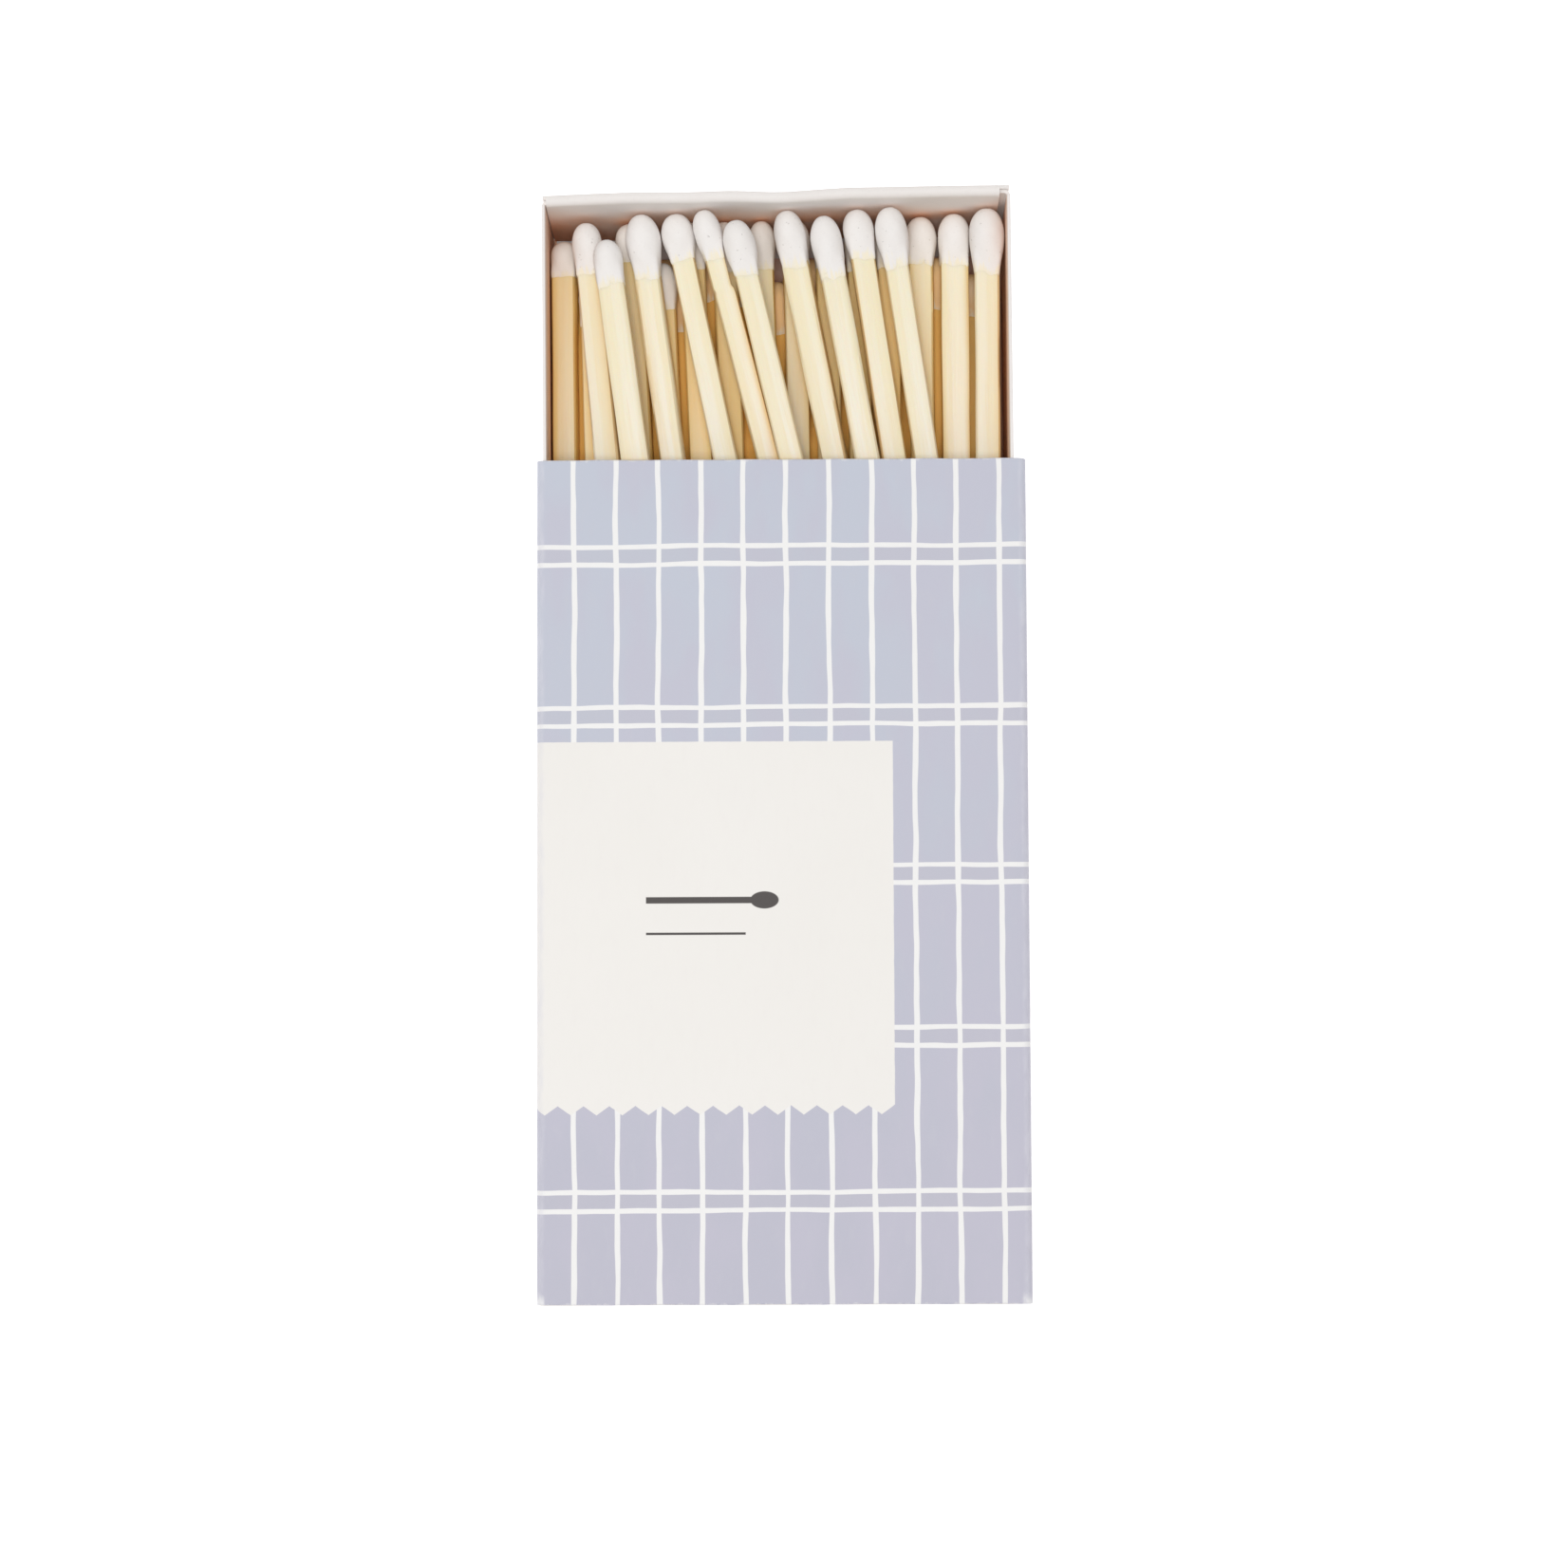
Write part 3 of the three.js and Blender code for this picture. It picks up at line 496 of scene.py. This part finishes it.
# ---- sleeve -----------------------------------------------------------------------------------------------------------------
def sleeve():
    w, h, r, t = SLEEVE_W / 2, SLEEVE_H, SLEEVE_R, SLEEVE_T
    ri = r - t
    # Outside, from the middle of the top towards +X and all the way round, with its own length as the print's coordinate.
    loop = [(0.0, h), (w - r, h)] + arc(w - r, h - r, r, 90, 0)[1:] + [(w, r)] + arc(w - r, r, r, 0, -90)[1:] + [(-w + r, 0.0)] + arc(-w + r, r, r, 270, 180)[1:] + [(-w, h - r)] + arc(-w + r, h - r, r, 180, 90)[1:] + [(0.0, h)]
    outer = np.array(dense(loop, 1.6))
    seg = np.hypot(*np.diff(outer, axis=0).T)
    u = np.concatenate([[0], np.cumsum(seg)])
    total = u[-1]
    u = np.where(u > total / 2, u - total, u)
    outer, u = outer[:-1], u[:-1]
    low = h - t - SEAM
    inner_loop = [(0.0, h - t)] + [(w - 2 * t - ri, h - t)] + arc(w - 2 * t - ri, h - t - ri, ri, 90, 0)[1:] + [(w - 2 * t, low + 0.12), (w - t, low), (w - t, r)] + arc(w - r, r, ri, 0, -90)[1:] + [(-w + r, t)] + arc(-w + r, r, ri, 270, 180)[1:] + [(-w + t, h - r)] + arc(-w + r, h - r, ri, 180, 90)[1:] + [(0.0, h - t)]
    inner = np.array(dense(inner_loop, 1.6))[:-1]
    ys = np.concatenate([[-55.0, -54.93, -54.7, -54.2], np.arange(-53, 53.5, 2.0), [54.2, 54.7, 54.93, 55.0]])
    verts, faces, slots, uv = [], [], [], []
    no, ni = len(outer), len(inner)
    for y in ys:
        # the cut ends are softened by 0.06 mm and waver a little
        e = 0.06 * max(0.0, 1 - (55 - abs(y)) / 0.07) if abs(y) > 54.9 else 0.0
        for j, (x, z) in enumerate(outer):
            nx, nz = 0.0, 0.0
            if e:
                nx, nz = -np.sign(x) * (abs(x) > w - r) * e, -np.sign(z - h / 2) * (abs(z - h / 2) > h / 2 - r) * e
            yy = y - np.sign(y) * (0.05 + 0.05 * float(np.tanh(wave(u[j], 5 if y > 0 else 6, 6, 0.5)))) * (abs(y) > 54.9)
            # the faces are not quite flat
            dip = 0.10 * (1 - (abs(x) / w) ** 2) * math.exp(-((55 - abs(y)) / 9.0) ** 2) if z > h - 0.01 or z < 0.01 else 0.0
            side = 0.06 * (1 - abs(z - h / 2) / (h / 2)) if abs(x) > w - 0.01 else 0.0
            verts.append((x + nx - np.sign(x) * side, yy, z + nz - (dip if z > h / 2 else 0)))
            uv.append((u[j], y, 0))
        for j, (x, z) in enumerate(inner):
            dip = 0.10 * (1 - (abs(x) / w) ** 2) * math.exp(-((55 - abs(y)) / 9.0) ** 2) if z > h - t - 0.01 else 0.0
            side = 0.06 * (1 - abs(z - h / 2) / (h / 2)) if abs(x) > w - t - 0.01 else 0.0
            verts.append((x - np.sign(x) * side * 0.9, y, z - dip))
            uv.append((0, y, 0))
    m = no + ni
    for i in range(len(ys) - 1):
        a, b = i * m, (i + 1) * m
        for j in range(no):
            k = (j + 1) % no
            faces.append((a + j, a + k, b + k, b + j))
            slots.append(0)
        for j in range(ni):
            k = (j + 1) % ni
            faces.append((a + no + j, b + no + j, b + no + k, a + no + k))
            slots.append(1)
    # the cut ends: bridge the two loops by nearest place along the loop
    def bridge(base, flip):
        ao = np.arctan2(outer[:, 0] / w, (outer[:, 1] - h / 2) / (h / 2)) % (2 * math.pi)
        ai = np.arctan2(inner[:, 0] / (w - t), (inner[:, 1] - h / 2) / (h / 2 - t)) % (2 * math.pi)
        i = j = 0
        while i < no or j < ni:
            if j >= ni or (i < no and (ao[(i + 1) % no] if i + 1 < no else 7) <= (ai[(j + 1) % ni] if j + 1 < ni else 7)):
                f = (base + i % no, base + (i + 1) % no, base + no + j % ni)
                i += 1
            else:
                f = (base + i % no, base + no + (j + 1) % ni, base + no + j % ni)
                j += 1
            faces.append(f if flip else f[::-1])
            slots.append(1)
    bridge(0, False)
    bridge((len(ys) - 1) * m, True)
    ob = make("sleeve_card", verts, faces, [PRINT, INNER], slots, angle=50)
    # The print's place is kept at the faces' corners, so that it can jump where the girth closes.
    vals = []
    for f in faces:
        q = [uv[k][0] for k in f]
        wrap = max(q) - min(q) > total / 2
        for k in f:
            vals += [uv[k][0] + (total if wrap and uv[k][0] < 0 else 0.0), uv[k][1], 0.0]
    ob.data.attributes.new("print_mm", "FLOAT_VECTOR", "CORNER").data.foreach_set("vector", vals)
    return ob


# ---- tray -------------------------------------------------------------------------------------------------------------------
RIM_X = [-31.0, -24.0, -19.0, -11.0, -6.0, 0.5, 9.0, 15.0, 22.0, 31.0]
RIM_D = [-0.05, 0.12, 0.20, 0.02, 0.12, -0.3, 0.16, 0.12, 0.1, 0.0]


def tray():
    t, r, w, l, z0, z1 = TRAY_T, TRAY_R, TRAY_W / 2, TRAY_L / 2, TRAY_Z0, TRAY_Z1
    c = t / 2
    rc = r - c
    verts, faces, marks = [], [], []
    fine_x = np.linspace(-31, 31, 125)
    rim = np.interp(fine_x, RIM_X, RIM_D)
    rim = np.convolve(np.pad(rim, 6, mode="edge"), np.hanning(13) / np.hanning(13).sum(), mode="valid")

    def warp(p):
        p = np.array(p, float)
        x, y, z = p.T
        k = np.clip((z - z0 - r) / (z1 - z0 - r), 0, 1.1)
        far = np.clip((y - (l - 9)) / 6.5, 0, 1)
        far = far * far * (3 - 2 * far)
        near = np.clip((-y - (l - 9)) / 6.5, 0, 1)
        near = near * near * (3 - 2 * near)
        y2 = y + far * (LEAN * k + math.tan(math.radians(SKEW)) * x * np.clip(k * 3, 0.0, 1) + np.interp(x, fine_x, rim) * k * k)
        y2 = y2 - near * (0.12 * wave(x, 3, 4, 0.1) * 0.5 * k * k + 0.1 * k)
        # the side walls bow in a little between the ends, and the rim wavers
        side = (np.abs(x) > w - 1.0) * np.sign(x)
        mid = 1 - np.clip(np.abs(y) / (l - 4), 0, 1) ** 2
        x2 = x - side * mid * 0.04 * k
        z2 = z + (z > z1 - 3) * (0.05 * wave(y * 0.09, 9, 4) - 0.05) * 0.6 * np.clip((l - 4 - np.abs(y)) / 6, 0, 1)
        return np.stack([x2, y2, z2], 1)

    def sheet(line, stations, axis, t=t, round_ends=True, inside=None):
        """A line of card swept along an axis, closed, with its open edges rounded."""
        a, b = offset(line, t)
        if round_ends:
            d0 = (np.array(line[0]) - np.array(line[1])); d0 = d0 / np.linalg.norm(d0)
            d1 = (np.array(line[-1]) - np.array(line[-2])); d1 = d1 / np.linalg.norm(d1)
            a[0] -= d0 * t * 0.22; b[0] -= d0 * t * 0.22; a[-1] -= d1 * t * 0.22; b[-1] -= d1 * t * 0.22
            cap0 = [(np.array(line[0]) + s * (a[0] - b[0]) * 0.32) for s in (-1, 1)]
            cap1 = [(np.array(line[-1]) + s * (a[-1] - b[-1]) * 0.32) for s in (1, -1)]
            ring = np.array(list(a) + cap1 + list(b[::-1]) + cap0)
            mark = [float(inside == "a")] * len(a) + [0.0] * 2 + [float(inside == "b")] * len(b) + [0.0] * 2
        else:
            ring = np.array(list(a) + list(b[::-1]))
            mark = [float(inside == "a")] * len(a) + [float(inside == "b")] * len(b)
        base, n = len(verts), len(ring)
        for s in stations:
            marks.extend(mark)
            for p, q in ring:
                verts.append((s, p, q) if axis == "x" else (p, s, q) if axis == "y" else (p, q, s))
        for i in range(len(stations) - 1):
            for j in range(n):
                k = (j + 1) % n
                faces.append((base + i * n + j, base + i * n + k, base + (i + 1) * n + k, base + (i + 1) * n + j))
        last = base + (len(stations) - 1) * n
        m = len(a)
        # end caps as a ladder of quads between the two sides of the card
        seq_a = list(range(m)) + ([m, m + 1] if round_ends else [])
        for off_, rev in ((base, True), (last, False)):
            lo_, hi_ = 0, n - 1
            if round_ends:
                fl = [off_ + n - 1, off_ + 0, off_ + 2 * m + 1, off_ + 2 * m + 2]
                # cap0 corners are the ring's last two; cap1's are m and m + 1
                faces.append(tuple(fl if rev else fl[::-1]))
                for q in range(m - 1):
                    f = (off_ + q, off_ + q + 1, off_ + 2 * m + 1 - (q + 1), off_ + 2 * m + 1 - q)
                    faces.append(f if rev else f[::-1])
                f = (off_ + m - 1, off_ + m, off_ + m + 1, off_ + m + 2)
                faces.append(f if rev else f[::-1])
            else:
                for q in range(m - 1):
                    f = (off_ + q, off_ + q + 1, off_ + 2 * m - 2 - q, off_ + 2 * m - 1 - q)
                    faces.append(f if rev else f[::-1])

    def spread(a, b, step, ends=0.03):
        n = max(2, int(abs(b - a) / step))
        v = np.linspace(a, b, n + 1)
        return v

    bend = 0.55
    tab_y = l - t - 0.1 - c
    line = dense([(-w + c, z1), (-w + c, z0 + r)] + arc(-w + c + rc, z0 + r, rc, 180, 270, 6)[1:] + [(w - c - rc, z0 + c)] + arc(w - c - rc, z0 + r, rc, 270, 360, 6)[1:] + [(w - c, z1)], 1.6)
    sheet(line, spread(-tab_y + bend, tab_y - bend, 1.5), "y", inside="a")
    floor = dense([(-w + r, z0 + c), (w - r, z0 + c)], 3.0)
    for sgn in (1, -1):
        ys = spread(tab_y - bend - 0.1, l - r - 0.15, 0.6)
        sheet(floor, ys if sgn > 0 else -ys[::-1], "y", t=t * 0.98, round_ends=False, inside="a")
    pitch = t + GAP
    for sgn in (1, -1):
        up = l - c
        top = z1 - c - pitch / 2
        outer = [(up - 4, z0 + c * 1.02)] + arc(up - rc, z0 + r, rc, -90, 0, 6) + [(up, top)] + arc(up - pitch / 2, top, pitch / 2, 0, 70, 5)[1:]
        inner = arc(up - pitch / 2, top, pitch / 2, 55, 180, 9) + [(up - pitch, z0 + t + 0.3)]
        xs = spread(-w + 0.12, w - 0.12, 0.8)
        # the far flap sits hard over to the left
        xi = spread(-w + (t + 0.12 if sgn > 0 else INSET + t), w - INSET - t, 0.8)
        for ln, st, into in ((outer, xs, None), (inner, xi, "b" if sgn > 0 else "a")):
            ln = dense(ln, 1.2)
            ln = [(sgn * a, b) for a, b in ln]
            sheet(ln, st if sgn > 0 else st[::-1], "x", inside=into)
        for side in (-1, 1):
            ty = tab_y
            # The skew is put in by warp; the tab is straight here.
            ln = [(side * (w - c), tab_y - bend - 0.2)] + [(side * (w - c - bend) + side * bend * math.cos(a), ty - bend + bend * math.sin(a)) for a in np.linspace(0, math.pi / 2, 9)] + [(side * (w - TAB), ty)]
            ln = dense([(a, sgn * b) for a, b in ln], 1.2)
            if side * sgn < 0:
                ln = ln[::-1]
            sheet(ln, spread(z0 + r + 0.25, z1 - t - 0.35, 1.2), "z")
    v = warp(verts)
    a = math.radians(TRAY_TURN)
    rot = np.array([[math.cos(a), -math.sin(a)], [math.sin(a), math.cos(a)]])
    v[:, :2] = v[:, :2] @ rot.T + np.array(TRAY_AT)
    ob = make("tray_card", v, faces, [CARD], attrs={"inside": marks}, angle=50)
    import bmesh
    bm = bmesh.new()
    bm.from_mesh(ob.data)
    bmesh.ops.recalc_face_normals(bm, faces=bm.faces)
    bm.to_mesh(ob.data)
    bm.free()
    ob.data.polygons.foreach_set("use_smooth", [True] * len(ob.data.polygons))
    ob.data.set_sharp_from_angle(angle=math.radians(50))
    return ob


# ---- matches ----------------------------------------------------------------------------------------------------------------
def match(i, row):
    x0, y0, z0, turn, slope, r, hl, w, h, roll = row[:10]
    extra = row[10] if len(row) > 10 else {}
    # the uneven dip swells by up to a few hundredths, so each head starts that much smaller and clear of the end wall
    y0, r = y0 - 0.06, r - 0.025
    R = np.random.default_rng(100 + i)
    N = 32
    a = np.linspace(0, 2 * math.pi, N, endpoint=False)

    def square(w, h, soft):
        """Polar radius of a square section with softened corners, at each angle."""
        ca, sa = np.abs(np.cos(a)), np.abs(np.sin(a))
        p = soft
        return 1.0 / ((ca / (w / 2)) ** p + (sa / (h / 2)) ** p) ** (1 / p)

    # perimeter noise that runs along the stick: each split face has shallow ridges and hollows
    ph = R.random(6) * 6.28
    am = R.normal(size=6)
    ridge = sum(am[k] * np.sin((k + 2) * a + ph[k]) for k in range(6)) * 0.012
    bowx, bowz = R.normal() * 0.10, 0.0
    b1, b2 = R.random() * 6.28, R.random() * 6.28
    st = np.concatenate([np.arange(0.5 * hl, 46.0, 0.55), np.arange(46.0, MATCH_L - 1.0, 3.2), [MATCH_L - 0.3, MATCH_L - 0.06, MATCH_L]])
    verts, faces, slots, grain, across, run = [], [], [], [], [], []
    nick = extra.get("nick")
    for s in st:
        ww = w * (1 + 0.022 * math.sin(s * 0.11 + b1) + 0.012 * math.sin(s * 0.37 + b2))
        hh = h * (1 + 0.015 * math.sin(s * 0.09 + b2))
        if nick and s > nick[0]:
            k = min(1.0, (s - nick[0]) / 0.5)
            ww *= 1 + nick[1] * k
        # under the dip the stick is a little thinner, so that its corners stay covered
        e = float(np.interp(s / hl, [0.5, 0.72, 0.88, 0.94], [0.80, 0.88, 0.955, 1.0]))
        if s > MATCH_L - 0.4:
            e = 0.985 if s > MATCH_L - 0.05 else 0.997
        rad = square(ww, hh, 7.5) * 0.985 + ridge * (0.7 + 0.3 * math.sin(s * 0.05 + b1))
        split = 0.018 * np.sin(5 * a + 0.6 * math.sin(s * 0.21 + b2)) * math.sin(s * 0.31 + b1)
        rad = (rad + split) * e
        ox = bowx * math.sin(min(1, s / MATCH_L) * math.pi)
        if nick and s > nick[0]:
            ox += nick[1] * w * 0.5 * nick[2]
        for j in range(N):
            px, pz = rad[j] * math.cos(a[j]) + ox, rad[j] * math.sin(a[j])
            verts.append((px, -s, pz))
            grain.append((px + i * 7.3, s, pz + i * 3.1))
            across.append((px - ox) / (w / 2))
    n1 = len(st)
    for k in range(n1 - 1):
        for j in range(N):
            jj = (j + 1) % N
            faces.append((k * N + j, k * N + jj, (k + 1) * N + jj, (k + 1) * N + j))
            slots.append(0)
    for k, rev in ((0, False), (n1 - 1, True)):
        ring = [k * N + j for j in range(N)]
        faces.append(tuple(ring if rev else ring[::-1]))
        slots.append(0)
    # head: a long drop whose lower edge runs out on the wood unevenly
    M, T = 56, 28
    b = np.linspace(0, 2 * math.pi, M, endpoint=False)
    ca, sa = np.abs(np.cos(b)), np.abs(np.sin(b))
    stick = 1.0 / ((ca / (w / 2)) ** 9 + (sa / (h / 2)) ** 9) ** (1 / 9) * 0.985 + 0.075
    edge = 1 + 0.03 * np.sin(b + R.random() * 6.28) + 0.022 * np.sin(2 * b + R.random() * 6.28) + 0.009 * np.sin(5 * b + R.random() * 6.28)
    for (at, deep, broad) in extra.get("notch", ()):
        d = (b - math.radians(at) + math.pi) % (2 * math.pi) - math.pi
        edge = edge - deep * np.exp(-(d / broad) ** 2)
    l1, l2 = R.random() * 6.28, R.random() * 6.28
    base = len(verts)
    tip = len(verts)
    verts.append((bowx * 0.02, 0.0, 0.0))
    grain.append((i * 7.3, 0, i * 3.1))
    run = [0.0] * len(verts)
    peak = 0.43
    for q in range(1, T + 1):
        tt = (q / T)
        tt = tt ** 1.25 if tt < 0.5 else tt ** 1.25
        for j in range(M):
            s = tt * hl * (1 + (edge[j] - 1) * tt ** 3)
            if tt < peak:
                f = 1 - ((peak - tt) / peak)
                rr = r * (1 - (1 - f) ** 2.15) ** (1 / 2.15)
            else:
                f = (tt - peak) / (1 - peak)
                rr = stick[j] + (r - stick[j]) * 0.5 * (1 + math.cos(math.pi * f ** 1.05)) if r > stick[j] else stick[j] * (1 - (1 - r / stick[j]) * (1 - f))
                rr = max(rr, min(r, stick[j]))
                rr -= 0.06 * f ** 6
            rr *= 1 + 0.016 * math.sin(2 * b[j] + 0.8 * s + l1) + 0.012 * math.sin(3 * b[j] - 1.1 * s + l2) + 0.006 * math.sin(7 * b[j] + 2.3 * s)
            if q == T:
                rr = stick[j] - 0.14
            px, pz = rr * math.cos(b[j]), rr * math.sin(b[j])
            ox = bowx * math.sin(min(1, s / MATCH_L) * math.pi)
            verts.append((px + ox, -s, pz))
            grain.append((px + i * 7.3, s, pz + i * 3.1))
            run.append(tt)
    first = tip + 1
    for j in range(M):
        faces.append((tip, first + (j + 1) % M, first + j))
        slots.append(1)
    for q in range(T - 1):
        for j in range(M):
            jj = (j + 1) % M
            p0, p1 = first + q * M, first + (q + 1) * M
            faces.append((p0 + j, p0 + jj, p1 + jj, p1 + j))
            slots.append(1)
    ring = [first + (T - 1) * M + j for j in range(M)]
    faces.append(tuple(ring))
    slots.append(1)
    v = np.array(verts)
    th, sl, ro = math.radians(turn), math.radians(slope), math.radians(roll)
    rx = np.array([[1, 0, 0], [0, math.cos(sl), -math.sin(sl)], [0, math.sin(sl), math.cos(sl)]])
    ry = np.array([[math.cos(ro), 0, math.sin(ro)], [0, 1, 0], [-math.sin(ro), 0, math.cos(ro)]])
    rz = np.array([[math.cos(th), -math.sin(th), 0], [math.sin(th), math.cos(th), 0], [0, 0, 1]])
    v = v @ (rz @ ry @ rx).T + np.array([x0, y0, z0])
    tone = float(R.random())
    return make("match_%02d_wood" % (i + 1), v, faces, [WOOD, HEAD], slots, {"grain_mm": grain, "tone": [tone] * len(v), "across": across + [0.0] * (len(v) - len(across)), "run_out": run}, angle=38)


# ---- build ------------------------------------------------------------------------------------------------------------------
s = sleeve()
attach(s, "sleeve")
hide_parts("sleeve")
tr = tray()
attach(tr, "tray")
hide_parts("tray")
for i, row in enumerate(MATCHES):
    mt = match(i, row)
    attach(mt, "tray")
    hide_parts("match_%02d" % (i + 1))

# ---- floor, light and camera ------------------------------------------------------------------------------------------------
g = Nodes("floor")
fc = g.t.nodes.new("ShaderNodeTexCoord").outputs["Object"]
g.finish(g.mix(g.noise(fc, 6.0, 2.0), (0.93, 0.93, 0.93, 1), (0.95, 0.95, 0.95, 1)), 0.9, None, 0.1)
g.bsdf.inputs["Emission Color"].default_value = (1, 1, 1, 1)
g.bsdf.inputs["Emission Strength"].default_value = 0.45
bpy.ops.mesh.primitive_plane_add(size=4.0, location=(0, 0, -0.0002))
floor = bpy.context.object
floor.name = "floor"
floor.data.materials.append(g.mat)

world = bpy.data.worlds.new("studio")
bpy.context.scene.world = world
world.use_nodes = True
world.node_tree.nodes["Background"].inputs[0].default_value = (1, 1, 1, 1)
world.node_tree.nodes["Background"].inputs[1].default_value = 0.46


def area(name, loc, aim, size, power, colour=(1, 1, 1)):
    d = bpy.data.lights.new(name, "AREA")
    d.shape = "SQUARE"
    d.size = size
    d.energy = power
    d.color = colour
    o = bpy.data.objects.new(name, d)
    bpy.context.scene.collection.objects.link(o)
    o.location = loc
    o.rotation_euler = (Vector(aim) - Vector(loc)).to_track_quat("-Z", "Y").to_euler()


area("key", (-0.30, 0.10, 0.75), (0, 0.03, 0), 0.5, 1.25)
area("front", (0.0, -0.09, 0.95), (0, 0.03, 0), 0.28, 3.36)

cam = bpy.data.objects.new("camera", bpy.data.cameras.new("camera"))
bpy.context.scene.collection.objects.link(cam)
rx_, ry_, rz_, cx_, cy_, cz_, f_ = 0.068394, 0.007617, -0.00431, 3.711619, -20.573248, 500.0, 3895.460385
cam.matrix_world = Matrix.Translation((cx_ * MM, cy_ * MM, cz_ * MM)) @ Matrix.Rotation(rz_, 4, "Z") @ Matrix.Rotation(ry_, 4, "Y") @ Matrix.Rotation(rx_, 4, "X")
cam.data.sensor_width = 36.0
cam.data.sensor_fit = "HORIZONTAL"
cam.data.lens = f_ / 1652 * 36.0
cam.data.clip_start = 0.01
bpy.context.scene.camera = cam
bpy.context.scene.view_settings.view_transform = "Standard"
bpy.context.scene.view_settings.look = "None"
